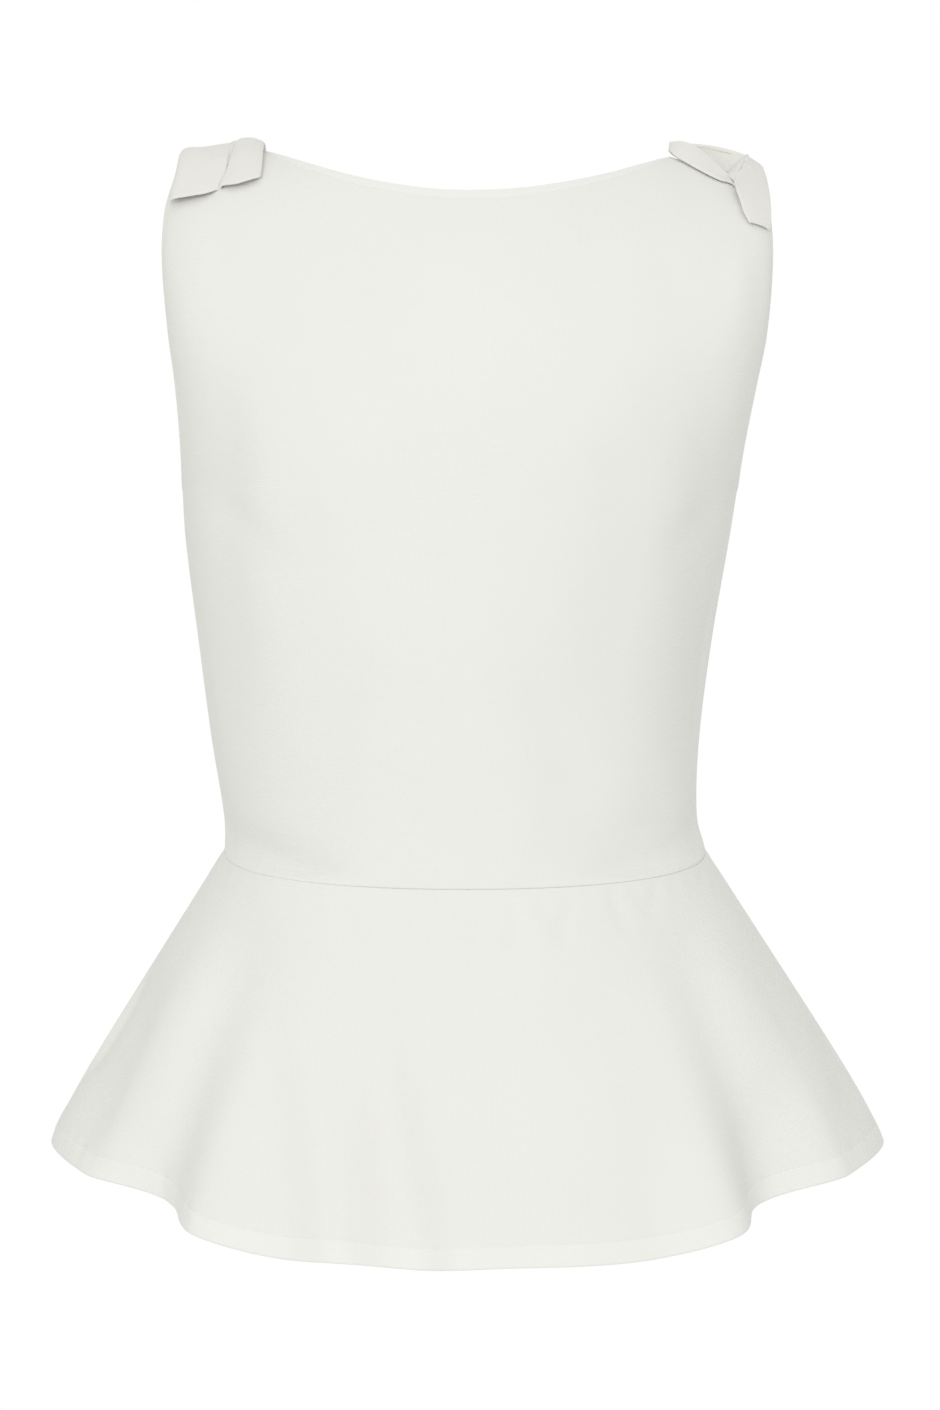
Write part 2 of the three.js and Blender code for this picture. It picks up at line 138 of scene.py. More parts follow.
# %% Sizes of the garment, in millimetres and degrees
NECK_HALF, SHOULDER_HALF = 114, 163
NECK_END_Z, ARM_END_Z, SHOULDER_TILT = 14, 1, 1.7
NECK_DIP_POWER = 1.85
UNDERARM_Z, ARM_OPENING_TURN = -173, 100
WAIST_SIDE_Z, WAIST_DIP_POWER = -373, 0.8
HEM_HALF, HEM_SIDE_Z = 232, -536
FLARE, FLARE_TURN_POWER, FOLD_GROWTH = 1.06, 8, 1.7
FRONT = dict(way=-1, neck_z=-12.6, arm_depth=52, waist_dip=20,
             hem_depth=185, hem_fall=1.0, reach="front")
BACK = dict(way=1, neck_z=-6, arm_depth=48, waist_dip=14,
            hem_depth=166, hem_fall=0.85, reach="back")
SECTION_ROWS = [  # z, half width, shift sideways, front reach, back reach, squareness
    (-410, 137, -1.0, 96, 87, 2.1),
    (-373, 134, -1.5, 99, 88, 2.1),
    (-355, 132, -3.9, 101, 89, 2.1),
    (-313, 136, -6.7, 108, 92, 2.1),
    (-257, 143.3, -6.9, 116, 98, 2.15),
    (-201, 151.7, -5.6, 121, 102, 2.3),
    (-173, 154.8, -4.2, 122, 103, 2.4),
    (-117, 160.5, -0.9, 122, 103, 2.5),
    (-89, 164.5, 0, 122, 103, 2.45),
    (-47, 168, 0, 122, 103, 2.35),
    (-20, 167, 0, 122, 103, 2.3),
    (1, 163, 0, 122, 103, 2.3),
    (30, 163, 0, 122, 103, 2.3),
]
SECTIONS = dict(zip(("z", "half", "shift", "front", "back", "square"), np.array(SECTION_ROWS).T))
TOP_SQUARE, WAIST_SQUARE = 2.3, 2.1
HEM_ANGLES = [0, 20, 28, 38, 49, 62, 78, 90]
HEM_FALLS = [53.5, 51.5, 48, 38, 27, 14, 4, 0]


def smooth_table(keys, values, at):
    """A smooth curve through a table's rows, read at any place between them."""
    keys, values = np.asarray(keys, float), np.asarray(values, float)
    at = np.clip(at, keys[0], keys[-1])
    slopes = np.gradient(values, keys)
    slopes[1:-1] = (values[2:] - values[:-2]) / (keys[2:] - keys[:-2])
    i = np.clip(np.searchsorted(keys, at) - 1, 0, len(keys) - 2)
    gap = keys[i + 1] - keys[i]
    s = (at - keys[i]) / gap
    eased = s * s * (3 - 2 * s)
    level = values[i] + (values[i + 1] - values[i]) * eased
    return level + gap * s * (1 - s) * ((1 - s) * slopes[i] - s * slopes[i + 1])


def section(column, z):
    return smooth_table(SECTIONS["z"], SECTIONS[column], z)


def smoothstep(at, low, high):
    s = np.clip((at - low) / (high - low), 0, 1)
    return s * s * (3 - 2 * s)


def mix(a, b, share):
    return a + (b - a) * share


def across(angle, square):
    return np.sign(angle) * np.abs(np.sin(np.radians(angle))) ** (2 / square)


def forward(angle, square):
    return np.maximum(np.cos(np.radians(angle)), 0) ** (2 / square)


def angle_across(share, square):
    return np.degrees(np.arcsin(np.clip(share, 0, 1) ** (square / 2)))


def angle_forward(share, square):
    return np.degrees(np.arccos(np.clip(share, 0, 1) ** (square / 2)))


NECK_SHARE = NECK_HALF / SHOULDER_HALF
NECK_ANGLE = float(angle_across(NECK_SHARE, TOP_SQUARE))
print("the neckline ends", round(NECK_ANGLE, 1), "degrees from the middle")

# %% [markdown]
# ## The two main surfaces
# One function gives any point of a bodice panel: row 0 is the waist seam, row 1 the underarm and
# row 2 the neckline or shoulder seam, while the angle runs from side seam to side seam. Another
# gives any point of a peplum panel. Working from functions rather than a sculpted mesh means the
# cloth can be as fine as the picture needs, and finer near its edges than in the middle.


# %% Bodice and peplum surfaces
def top_edge(side, angle):
    """Height of a panel's top edge, and of the shoulder line that it is cut from."""
    share = np.abs(across(angle, TOP_SQUARE))
    tilt = -SHOULDER_TILT * np.sign(angle) * share / NECK_SHARE
    fall = (NECK_END_Z - ARM_END_Z) / (1 - NECK_SHARE)
    strap_z = NECK_END_Z - fall * (share - NECK_SHARE)
    middle_z = NECK_END_Z + fall * (NECK_SHARE**2 - share**2) / (2 * NECK_SHARE)
    inside = np.clip(share / NECK_SHARE, 0, 1)
    neck_z = side["neck_z"] + (NECK_END_Z - side["neck_z"]) * inside**NECK_DIP_POWER
    on_strap = share >= NECK_SHARE
    return np.where(on_strap, strap_z, neck_z) + tilt, np.where(on_strap, strap_z, middle_z) + tilt


def bodice_surface(side, angle, row):
    """Points of a bodice panel's outer face."""
    angle, row = np.broadcast_arrays(np.asarray(angle, float), np.asarray(row, float))
    waist_z = WAIST_SIDE_Z - side["waist_dip"] * forward(angle, WAIST_SQUARE) ** WAIST_DIP_POWER
    upper = row > 1
    top_z, shoulder_z = top_edge(side, angle)
    risen = (1 - np.cos(np.pi * np.clip(row - 1, 0, 1))) / 2
    z = np.where(upper, mix(UNDERARM_Z, top_z, risen), mix(waist_z, UNDERARM_Z, row))
    level = np.clip((z - UNDERARM_Z) / (shoulder_z - UNDERARM_Z), 0, 1)
    turn = np.degrees(np.arccos(1 - 2 * level))
    reach = section(side["reach"], np.minimum(z, UNDERARM_Z)) * np.sqrt(1 - level**2)
    arm_edge = side["arm_depth"] * np.sin(np.radians(turn))
    side_reach = np.where(upper, arm_edge * smoothstep(turn, 0, ARM_OPENING_TURN), 0)
    square = section("square", z)
    limit = angle_forward((arm_edge - side_reach) / (reach - side_reach + 1), square)
    outward = (np.abs(angle) - NECK_ANGLE) / (90 - NECK_ANGLE)
    turned = np.where(
        upper & (outward > 0), np.sign(angle) * mix(NECK_ANGLE, limit, outward), angle
    )
    x = section("shift", z) + section("half", z) * across(turned, square)
    y = side["way"] * (side_reach + (reach - side_reach) * forward(turned, square))
    return np.stack([x, y, z], -1)


def peplum_surface(side, angle, row, folds):
    """Points of a peplum panel's outer face, with its large folds."""
    angle, row = np.broadcast_arrays(np.asarray(angle, float), np.asarray(row, float))
    seam = bodice_surface(side, angle, np.zeros_like(row))
    side_share, front_share = np.sin(np.radians(angle)), np.cos(np.radians(angle)).clip(0)
    fall = side["hem_fall"] * smooth_table(HEM_ANGLES, HEM_FALLS, np.abs(angle))
    hem = np.stack(
        [HEM_HALF * side_share, side["way"] * side["hem_depth"] * front_share, HEM_SIDE_Z - fall],
        -1,
    )
    out = FLARE * row - (FLARE - 1) * row**FLARE_TURN_POWER
    points = seam + (hem - seam) * out[..., None]
    points[..., 2] = mix(seam[..., 2], hem[..., 2], row)
    outward = np.stack([side_share / HEM_HALF, side["way"] * front_share / side["hem_depth"]], -1)
    outward = outward / np.linalg.norm(outward, axis=-1, keepdims=True)
    for middle, depth, spread, start in folds:
        off = np.abs(angle - middle) / spread
        grown = np.clip((row - start) / (1 - start), 0, 1) ** FOLD_GROWTH
        wave = np.where(off < 1, (1 + np.cos(np.pi * np.clip(off, 0, 1))) / 2, 0)
        points[..., :2] -= outward * (depth * grown * wave)[..., None]
    return points


# %% [markdown]
# ## Even cloth from a stretched grid
# Rows that are even in the function bunch up in some places and spread in others. Real cloth
# has its finest detail within a few millimetres of an edge, where it is turned and stitched. So
# each column is measured along the surface, and its rows are set at fixed distances from both
# edges, with even steps between. Fixed distances also make the stitching easy: it is a row.
# The way out of the cloth comes from the function and not from the grid, whose rows slant.

# %% Grids measured along the cloth
EDGE_STEPS = np.array([0, 0.12, 0.3, 0.6, 1.0, 1.6, 2.4, 3.4, 4.4, 5.2, 5.7, 6.0, 6.3, 6.8, 7.8,
                       9.4, 11.6, 14.4])
SEAM_STEPS = np.array([0, 0.25, 0.55, 0.95, 1.5, 2.2, 3.2, 4.8, 7.0])
HEM_STEPS = np.array([0, 0.15, 0.4, 0.8, 1.5, 2.6, 4.2, 6.0, 8.0, 9.8, 11.0, 11.6, 12.0, 12.4,
                      13.0, 14.2, 16.0])


def lengths(points, axis):
    """Distance walked along the grid from its first row or column, at each point."""
    steps = np.linalg.norm(np.diff(points, axis=axis), axis=-1)
    pad = [(1, 0) if a == axis else (0, 0) for a in (0, 1)]
    return np.cumsum(np.pad(steps, pad), axis=axis)


def measured_rows(surface, angles, low, high, low_steps, high_steps, step):
    """Row values that put the grid's rows at fixed distances from its lower and upper edges."""
    dense = np.linspace(low, high, 700)
    walked = lengths(surface(angles[None, :], dense[:, None]), 0)
    room = walked[-1].max() - low_steps[-1] - high_steps[-1]
    between = np.linspace(0, 1, int(room / step) + 1)[1:-1]
    rows = np.empty((len(low_steps) + len(between) + len(high_steps), len(angles)))
    for j in range(len(angles)):
        total = walked[-1, j]
        inner = mix(low_steps[-1], total - high_steps[-1], between)
        places = np.concatenate([low_steps, inner, total - high_steps[::-1]])
        rows[:, j] = np.interp(places, walked[:, j], dense)
    return rows


def normals_of(surface, angles, rows, way_out):
    """Unit normals of a surface at a grid's places, on the side that way_out points to."""
    along = surface(angles[None, :] + 0.03, rows) - surface(angles[None, :] - 0.03, rows)
    up = surface(angles[None, :], rows + 0.002) - surface(angles[None, :], rows - 0.002)
    n = np.cross(along, up)
    n /= np.maximum(np.linalg.norm(n, axis=-1, keepdims=True), 1e-12)
    return n * np.sign((n * way_out).sum(-1).mean())


# %% [markdown]
# ## Listed creases
# A cloth simulation would give creases of its own, not those of the photograph. So each crease is
# a row in a table: where it starts and ends, how wide and how deep it is, and how far it bows. It
# presses a soft trough into the cloth that fades at both ends. A negative depth is a ridge.


# %% Creases
def press_creases(x, z, creases):
    """How far in the cloth is pressed at each point, in millimetres."""
    pressed = np.zeros_like(x)
    for x0, z0, x1, z1, width, depth, bow in creases:
        length = math.hypot(x1 - x0, z1 - z0)
        ux, uz = (x1 - x0) / length, (z1 - z0) / length
        along = ((x - x0) * ux + (z - z0) * uz) / length
        side_step = -(x - x0) * uz + (z - z0) * ux
        side_step = side_step - bow * 4 * np.clip(along, 0, 1) * (1 - np.clip(along, 0, 1))
        fade = smoothstep(along, -0.12, 0.3) * (1 - smoothstep(along, 0.62, 1.12))
        spread = width * (0.75 + 0.5 * np.clip(along, 0, 1))
        pressed += depth * fade * np.exp(-((side_step / spread) ** 2))
    return pressed


def uneven(u, v, size, seed):
    """A soft irregular wave between about -1 and 1, the same at each run."""
    draw = np.random.default_rng(seed)
    total = np.zeros(np.broadcast(u, v).shape)
    for _ in range(7):
        turn, phase = draw.uniform(0, 2 * np.pi, 2)
        stretch = draw.uniform(0.6, 1.7)
        along = u * np.cos(turn) + v * np.sin(turn)
        total += np.sin(along * 2 * np.pi / (size * stretch) + phase)
    return total / 3.2


# %% [markdown]
# ## From a grid to a shell of cloth
# The cloth is a closed thin shell: an outer face, an inner face and rims. Where an edge is free
# the two faces close in a half round, as a turned edge does. Where it is sewn, the outer face
# dips towards the seam, which is how a pressed seam shows. The shell is a little thicker where
# the cloth is turned in and stitched down.

# %% Shell maker
CLOTH = 0.9


def free_edge(distance, thick):
    """Half thickness near a free edge: a half round that ends in full thickness."""
    r = thick / 2
    d = np.clip(distance, 0, None)
    return np.where(d < r, r * np.sqrt(np.clip(1 - ((r - d) / r) ** 2, 0.01, 1)), r)


def shell_mesh(name, outer, inner, uv, doubled, ring=False):
    """A mesh in metres from two grids in millimetres, closed round its edges."""
    rows, columns = outer.shape[:2]
    points = np.concatenate([outer.reshape(-1, 3), inner.reshape(-1, 3)]) * MM
    index = np.arange(rows * columns).reshape(rows, columns)
    if ring:
        index = np.vstack([index, index[:1]])
    inside = index + rows * columns
    last = index.shape[0] - 1

    def quads(a, b, c, d):
        return np.stack([a, b, c, d], -1).reshape(-1, 4)

    faces = [
        quads(index[:-1, :-1], index[:-1, 1:], index[1:, 1:], index[1:, :-1]),
        quads(inside[:-1, :-1], inside[1:, :-1], inside[1:, 1:], inside[:-1, 1:]),
        quads(index[:-1, 0], index[1:, 0], inside[1:, 0], inside[:-1, 0]),
        quads(index[:-1, -1], inside[:-1, -1], inside[1:, -1], index[1:, -1]),
    ]
    if not ring:
        faces.append(quads(index[0, :-1], inside[0, :-1], inside[0, 1:], index[0, 1:]))
        faces.append(quads(index[last, :-1], index[last, 1:], inside[last, 1:], inside[last, :-1]))
    faces = np.concatenate(faces)
    corner = points[faces]
    volume = (corner[:, 0] * np.cross(corner[:, 1], corner[:, 2])).sum()
    volume += (corner[:, 0] * np.cross(corner[:, 2], corner[:, 3])).sum()
    if volume < 0:
        faces = faces[:, ::-1]
    mesh = bpy.data.meshes.new(name)
    mesh.from_pydata(points.tolist(), [], faces.tolist())
    layer = mesh.uv_layers.new(name="cloth_grain")
    both = np.concatenate([uv.reshape(-1, 2), uv.reshape(-1, 2)]) * MM
    loops = np.empty(len(mesh.loops), int)
    mesh.loops.foreach_get("vertex_index", loops)
    layer.data.foreach_set("uv", both[loops].ravel())
    turned_in = mesh.attributes.new("doubled", "FLOAT", "POINT")
    turned_in.data.foreach_set("value", np.concatenate([doubled.ravel()] * 2).astype(np.float32))
    mesh.polygons.foreach_set("use_smooth", np.ones(len(mesh.polygons), bool))
    mesh.update()
    piece = bpy.data.objects.new(name, mesh)
    scene.collection.objects.link(piece)
    return piece


def report_piece(piece):
    mesh = piece.data
    area = sum(p.area for p in mesh.polygons) / 2
    low = [round(min(v.co[i] for v in mesh.vertices), 3) for i in range(3)]
    high = [round(max(v.co[i] for v in mesh.vertices), 3) for i in range(3)]
    print(piece.name, "triangles", 2 * len(mesh.polygons), "area", round(area, 4), "m2", low, high)


# %% [markdown]
# ## The cloth's finish
# The cloth is a smooth, matt, rather heavy crepe. Seen close it has a fine pebbled grain, made by
# a bump from the piece's own cloth_grain map, so the grain follows the cut as real threads do.
# Its colour is a warm white that wanders by a percent or two, and a little sheen softens the edges
# that turn away. The grain could be geometry, but a thread is under half a millimetre thick.

# %% Ivory crepe
IVORY = (0.842, 0.843, 0.806)
IVORY_DEEP = (0.832, 0.832, 0.793)
# The bows are of the same crepe as the body, but their two colours are a little darker and warmer:
# painted shade, for the shade on their tilted, folded loops.
BOW_IVORY_SHADED = (0.82, 0.815, 0.772)
BOW_DEEP_SHADED = (0.80, 0.793, 0.748)
IVORY_DOUBLED = (0.86, 0.862, 0.828)
WANDER_SCALE, PEBBLE_SCALE, WARP_SCALE, WEFT_SCALE = 14.0, 1150.0, 340.0, 300.0
GRAIN_HEIGHT = 0.00012


def crepe(name, light, deep, grain_strength):
    material = bpy.data.materials.new(name)
    material.use_nodes = True
    nodes, links = material.node_tree.nodes, material.node_tree.links
    shader = nodes["Principled BSDF"]
    set_inputs(shader, {"Sheen Weight": 0.16, "Sheen Roughness": 0.6,
                        "Sheen Tint": (1.0, 0.99, 0.96, 1), "Specular IOR Level": 0.22})
    place = nodes.new("ShaderNodeTexCoord")
    own = nodes.new("ShaderNodeUVMap")
    own.uv_map = "cloth_grain"

    wander = nodes.new("ShaderNodeTexNoise")
    set_inputs(wander, {"Scale": WANDER_SCALE, "Detail": 3.0})
    links.new(place.outputs["Object"], wander.inputs["Vector"])
    tone = nodes.new("ShaderNodeValToRGB")
    tone.color_ramp.elements[0].position = 0.3
    tone.color_ramp.elements[0].color = (*deep, 1)
    tone.color_ramp.elements[1].position = 0.62
    tone.color_ramp.elements[1].color = (*light, 1)
    links.new(wander.outputs["Fac"], tone.inputs["Fac"])
    turned_in = nodes.new("ShaderNodeAttribute")
    turned_in.attribute_name = "doubled"
    paler = nodes.new("ShaderNodeMix")
    paler.data_type = "RGBA"
    links.new(turned_in.outputs["Fac"], paler.inputs["Factor"])
    links.new(tone.outputs["Color"], paler.inputs["A"])
    set_inputs(paler, {"B": (*IVORY_DOUBLED, 1)})
    links.new(paler.outputs["Result"], shader.inputs["Base Color"])

    rough = nodes.new("ShaderNodeMapRange")
    set_inputs(rough, {"To Min": 0.76, "To Max": 0.88})
    links.new(wander.outputs["Fac"], rough.inputs["Value"])
    links.new(rough.outputs["Result"], shader.inputs["Roughness"])

    pebble = nodes.new("ShaderNodeTexNoise")
    set_inputs(pebble, {"Scale": PEBBLE_SCALE, "Detail": 2.0})
    links.new(own.outputs["UV"], pebble.inputs["Vector"])
    threads = nodes.new("ShaderNodeMath")
    threads.operation = "ADD"
    for i, (direction, scale) in enumerate((("X", WARP_SCALE), ("Y", WEFT_SCALE))):
        wave = nodes.new("ShaderNodeTexWave")
        wave.wave_type = "BANDS"
        wave.bands_direction = direction
        set_inputs(wave, {"Scale": scale, "Distortion": 1.6, "Detail Scale": 2.0})
        links.new(own.outputs["UV"], wave.inputs["Vector"])
        links.new(wave.outputs["Fac"], threads.inputs[i])
    height = nodes.new("ShaderNodeMath")
    height.operation = "ADD"
    links.new(threads.outputs["Value"], height.inputs[0])
    links.new(pebble.outputs["Fac"], height.inputs[1])
    bump = nodes.new("ShaderNodeBump")
    set_inputs(bump, {"Strength": grain_strength, "Distance": GRAIN_HEIGHT})
    links.new(height.outputs["Value"], bump.inputs["Height"])
    links.new(bump.outputs["Normal"], shader.inputs["Normal"])
    return material


ivory_crepe = crepe("ivory_crepe", IVORY, IVORY_DEEP, 0.35)
# Painted shade: the bows get the body's crepe in darker, warmer colours.
bow_crepe_shaded = crepe("ivory_crepe_bows_shaded", BOW_IVORY_SHADED, BOW_DEEP_SHADED, 0.4)
print("materials", [m.name for m in (ivory_crepe, bow_crepe_shaded)])


def finish_piece(piece, node, material):
    """Gives a cloth piece its material, ties it to the root, and hides its frame node."""
    piece.data.materials.append(material)
    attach(piece, "root")
    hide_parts(node)
    report_piece(piece)


# %% [markdown]
# ## Bodice panels
# Each bodice panel runs from the waist seam up to the neckline and the shoulder seams, and from
# side seam to side seam, with the armholes cut out of its sides. The neckline and the armholes
# are turned in and stitched 6 mm from the edge, which shows as a slightly paler band with a
# fine line below it. The columns crowd towards the armholes, where the same finish is, and near
# the neckline's ends, where a column grows long as it starts to pass over the shoulder.

# %% Bodice creases: x and z of the start, x and z of the end, width, depth, bow
FRONT_BODICE_CREASES = [
    (-142, -362, -66, -388, 13, 5.4, -3),
    (-126, -368, -60, -391, 5, 1.0, -3),
    (134, -360, 66, -388, 13, 5.4, 3),
    (118, -350, 34, -380, 14, 2.4, 4),
    (-132, -110, -126, -352, 17, 3.8, -5),
    (-92, -130, -66, -350, 24, 1.6, -8),
    (134, -140, 124, -350, 19, 4.2, 4),
    (84, -130, 60, -352, 24, 2.0, 8),
    (-4, -90, -2, -350, 42, -2.6, 0),
    (36, -280, 60, -374, 16, 1.8, 4),
    (-46, -300, -58, -376, 13, -1.1, -3),
    (-150, -178, -96, -222, 10, 1.5, 4),
    (150, -176, 104, -226, 10, 1.5, -4),
    (150, -38, 140, -116, 9, -1.2, 2),
    (118, -40, 122, -170, 26, 2.2, -3),
    (-140, -34, -128, -104, 11, 1.0, 3),
    (-120, -50, -112, -170, 24, 1.4, 2),
]
BACK_BODICE_CREASES = [
    (-128, -346, -58, -384, 9, 2.2, -5),
    (130, -350, 66, -382, 8, 2.4, 5),
    (-4, -60, -2, -340, 34, 2.4, 0),
    (-70, -60, -54, -300, 26, -1.6, 5),
    (72, -58, 56, -310, 27, -1.7, -5),
    (-148, -180, -92, -214, 9, 1.4, 4),
    (148, -178, 98, -218, 10, 1.3, -4),
    (-40, -300, -54, -372, 13, 1.1, -3),
    (38, -296, 50, -374, 14, 1.0, 4),
    (-120, -250, -104, -344, 11, 1.1, 3),
    (122, -240, 108, -340, 11, 1.0, -4),
    (-24, -22, -70, -74, 12, 0.8, -5),
    (30, -22, 76, -78, 12, 0.9, 5),
]

# %% Bodice panels
TURNED = 6.0
TURNED_STEP = list(EDGE_STEPS).index(TURNED)
THREAD_LIFT = 0.04
SEAM_DIP, SEAM_SPREAD = 0.24, 0.6
STITCH_DENT, TURNED_RISE, TURNED_THICKER = 0.1, 0.1, 0.6
BODICE_SWELL, BODICE_SWELL_LENGTH = 0.5, 120
BODICE_RIPPLE, BODICE_RIPPLE_LENGTH = 0.12, 26
BODICE_PUCKER, BODICE_PUCKER_LENGTH = 0.28, 17
EDGE_COLUMNS, NECK_COLUMNS, CLOSE_COLUMNS = 46, 68, 8
CROWD_SQUARE, CROWD_POWER, BODICE_ROW_STEP = 2.5, 1.35, 3.4
LEVEL_ROW, LEVEL_Z = 0.7, -230.0
FAR_OFF = 1e3


def seam_dip(x, sewn):
    """How far cloth dips into a pressed seam, which is fainter at the picture's left."""
    return SEAM_DIP * mix(0.3, 1, smoothstep(x, -96, -40)) * np.exp(-((sewn / SEAM_SPREAD) ** 2))


def bodice_angles():
    """Columns that crowd towards the armholes and towards the neckline's two ends."""
    neck = np.linspace(-NECK_ANGLE, NECK_ANGLE, NECK_COLUMNS + 1)
    steps = np.arange(1, CLOSE_COLUMNS + 1) / (CLOSE_COLUMNS + 1)
    close = NECK_ANGLE - (neck[1] - neck[0]) * steps**2
    neck = np.sort(np.concatenate([neck, close, -close]))
    start = forward(NECK_ANGLE, CROWD_SQUARE)
    shares = start * (np.arange(EDGE_COLUMNS) / EDGE_COLUMNS) ** CROWD_POWER
    strap = angle_forward(shares, CROWD_SQUARE)
    return np.concatenate([-strap, neck, strap[::-1]])


def bodice_cloth(name, side, creases, seed):
    angles = bodice_angles()
    surface = lambda a, r: bodice_surface(side, a, r)
    rows = measured_rows(surface, angles, 0, 2, SEAM_STEPS, EDGE_STEPS, BODICE_ROW_STEP)
    base = surface(angles[None, :], rows)
    normal = normals_of(surface, angles, rows, np.array([0, side["way"], 0.0]))
    from_waist = lengths(base, 0)
    from_top = from_waist[-1] - from_waist
    from_left = lengths(base, 1)
    from_side = np.minimum(from_left, from_left[:, -1:] - from_left)
    neck = np.broadcast_to(np.abs(angles), rows.shape) <= NECK_ANGLE + 1e-6
    armhole = rows > 1
    free = np.minimum(np.where(neck, from_top, FAR_OFF), np.where(armhole, from_side, FAR_OFF))
    sewn = np.minimum(np.where(neck, FAR_OFF, from_top), np.where(armhole, FAR_OFF, from_side))
    sewn = np.minimum(sewn, from_waist)
    x, z = base[..., 0], base[..., 2]
    level_row = lengths(surface(angles[None, :], np.full((1, 1), LEVEL_ROW)), 1)
    u = level_row - level_row[:, len(angles) // 2]
    u = u * section("half", z) / section("half", LEVEL_Z)
    below_shoulder = top_edge(side, angles[None, :])[1] - z
    loose = smoothstep(below_shoulder, 4, 40) * smoothstep(from_side, 0, 22)
    settled = loose * smoothstep(from_waist, 0, 14)
    inward = press_creases(x, z, creases) * loose * smoothstep(from_waist, 0, 6)
    inward -= BODICE_SWELL * settled * uneven(u, z, BODICE_SWELL_LENGTH, seed)
    inward -= BODICE_RIPPLE * settled * uneven(u, z * 0.5, BODICE_RIPPLE_LENGTH, seed + 1)
    gathered = np.exp(-((from_waist - 5) / 7) ** 2) * smoothstep(from_waist, 0.4, 4)
    inward -= BODICE_PUCKER * gathered * uneven(u, 0 * u, BODICE_PUCKER_LENGTH, seed + 2)
    inward += seam_dip(x, sewn)
    inward += STITCH_DENT * np.exp(-(((free - TURNED) / 0.6) ** 2))
    inward -= TURNED_RISE * (1 - smoothstep(free, TURNED - 0.4, TURNED + 0.4))
    thick = CLOTH + TURNED_THICKER * (1 - smoothstep(free, TURNED, TURNED + 0.8))
    half = free_edge(free, thick)
    middle = base - normal * (inward + thick / 2)[..., None]
    outer, inner = middle + normal * half[..., None], middle - normal * half[..., None]
    doubled = 1 - smoothstep(free, TURNED - 0.3, TURNED + 0.7)
    piece = shell_mesh(name, outer, inner, np.stack([u, from_waist], -1), doubled)
    print("rows and columns", rows.shape, "waist", round(from_left[0, -1]), "mm",
          "widest", round(from_left[:, -1].max()), "longest", round(from_waist[-1].max()), "mm")
    thread = outer + normal * THREAD_LIFT
    lines = [thread[len(rows) - 1 - TURNED_STEP, neck[0]]]
    from_right = from_left[:, -1:] - from_left
    for high, edge in ((rows[:, 0] > 1, from_left), (rows[:, -1] > 1, from_right)):
        flip = slice(None) if edge[0, 0] == 0 else slice(None, None, -1)
        lines.append(np.array([
            [np.interp(TURNED, edge[i, flip], thread[i, flip, k]) for k in range(3)]
            for i in np.flatnonzero(high)]))
    return piece, lines


bodice_front, front_lines = bodice_cloth("bodice_front_cloth", FRONT, FRONT_BODICE_CREASES, 11)
finish_piece(bodice_front, "bodice_front", ivory_crepe)
bodice_back, back_lines = bodice_cloth("bodice_back_cloth", BACK, BACK_BODICE_CREASES, 23)
finish_piece(bodice_back, "bodice_back", ivory_crepe)

# %% [markdown]
# ## Peplum panels
# The peplum is cut like part of a ring, so its hem is about twice as long as its waist edge, and
# the spare length hangs in flutes. The hem is turned up 12 mm and stitched. Because the cut edge
# inside a curved hem is longer than the cloth it is sewn to, the hem puckers a little all along.

# %% Peplum folds: angle, depth, spread, start
FRONT_FOLDS = [(-51, 25, 14, 0), (-36.5, -8, 11, 0.1), (-22, 2.5, 7, 0.3), (-11, 5.5, 10, 0.25),
               (7, 2.5, 9, 0.4), (36, -9, 11, 0.1), (50, 26, 14, 0)]
BACK_FOLDS = [(-51, 20, 16, 0), (-33, -6, 13, 0.1), (-13, 11, 13, 0.15), (4, -4, 10, 0.2),
              (20, 9, 12, 0.1), (35, -6, 11, 0.1), (50, 22, 16, 0)]
FRONT_PEPLUM_CREASES = [
    (26, -399, 22, -438, 5.5, 1.3, 1),
    (32, -399, 44, -430, 5, -1.0, 1),
    (60, -398, 48, -424, 5, 1.0, -1),
    (76, -396, 88, -418, 4.5, 0.8, 1),
    (104, -392, 98, -410, 4.5, 0.8, -1),
    (-28, -399, -20, -432, 6, 0.9, 1),
    (-68, -396, -60, -424, 6, 0.8, -1),
    (-2, -400, 4, -426, 5, 0.8, 1),
    (-52, -448, -8, -670, 18, 9.0, -4),
    (-90, -452, -52, -670, 17, -6.0, -3),
    (-134, -420, -172, -560, 18, -5.2, -4),
    (-172, -440, -216, -552, 15, 6.0, -5),
    (-210, -486, -228, -544, 8, -2.4, -2),
    (130, -424, 158, -524, 18, -5.0, 4),
    (196, -470, 216, -526, 10, 1.8, 2),
    (188, -466, 222, -530, 6, 1.0, 3),
    (14, -470, 26, -590, 14, 1.2, 3),
    (92, -450, 112, -585, 16, 1.0, 3),
]
BACK_PEPLUM_CREASES = [
    (-24, -393, -20, -430, 4, 1.3, 1),
    (18, -393, 28, -424, 4, 1.1, 1),
    (56, -391, 50, -418, 4, 1.0, -1),
    (-60, -391, -70, -416, 4, 1.0, 1),
    (-90, -388, -84, -408, 3.5, 0.8, 1),
    (88, -388, 96, -412, 3.5, 0.9, 1),
    (-160, -440, -190, -522, 13, 1.8, -5),
    (158, -436, 192, -520, 13, 1.8, 5),
    (-50, -460, -58, -580, 14, 1.3, 4),
    (60, -450, 66, -580, 14, 1.4, -4),
]

# %% Peplum panels
HEM_TURN = 12.0
HEM_TURN_STEP = list(HEM_STEPS).index(HEM_TURN)
PEPLUM_SWELL, PEPLUM_SWELL_LENGTH = 0.5, 90
PEPLUM_PUCKER, PEPLUM_PUCKER_LENGTH = 0.4, 19
HEM_PUCKER, HEM_PUCKER_LENGTH = 0.5, 13
HEM_DENT, HEM_RISE, HEM_THICKER = 0.12, 0.15, 1.1
PEPLUM_COLUMNS, PEPLUM_ROW_STEP = 236, 2.7


